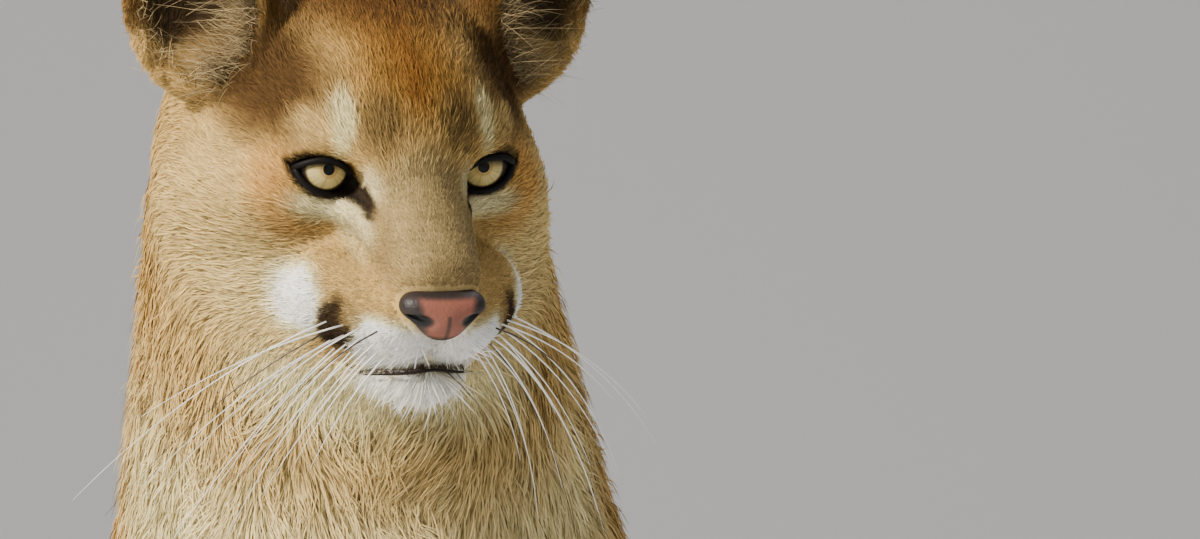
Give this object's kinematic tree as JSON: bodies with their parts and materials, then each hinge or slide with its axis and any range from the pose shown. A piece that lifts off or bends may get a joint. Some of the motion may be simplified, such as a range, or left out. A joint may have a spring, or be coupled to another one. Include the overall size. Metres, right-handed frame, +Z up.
{
  "type": "cougar",
  "caption": "Life-size standing cougar with a short tawny coat, pale muzzle, round ears and a long dark-tipped tail, its head raised and turned to its left.",
  "frame": {"origin": "centre of the bounding box at the level of the soles", "axes": "+Z up, -Y the way the animal faces, +X towards its left side; the tail runs towards +Y"},
  "size_m": [0.287, 1.3778, 0.9676],
  "materials": {
    "coat": "short dense tawny fur",
    "coat_dark": "short dark brown fur",
    "eye": "wet clear cornea over a pale yellow-green iris",
    "nose": "moist fine-grained bare skin"
  },
  "bodies": {
    "root": {"chest": "coat", "loin": "coat", "rump": "coat", "neck": "coat", "head": "coat", "ear_left": "coat", "ear_right": "coat", "eye_left": "eye", "eye_right": "eye", "nose_pad": "nose", "upper_arm_left": "coat", "upper_arm_right": "coat", "forearm_left": "coat", "forearm_right": "coat", "forepaw_left": "coat", "forepaw_right": "coat", "thigh_left": "coat", "thigh_right": "coat", "shank_left": "coat", "shank_right": "coat", "hock_left": "coat", "hock_right": "coat", "hindpaw_left": "coat", "hindpaw_right": "coat", "tail_1": "coat", "tail_2": "coat", "tail_3": "coat", "tail_4": "coat_dark"}
  },
  "joints": []
}
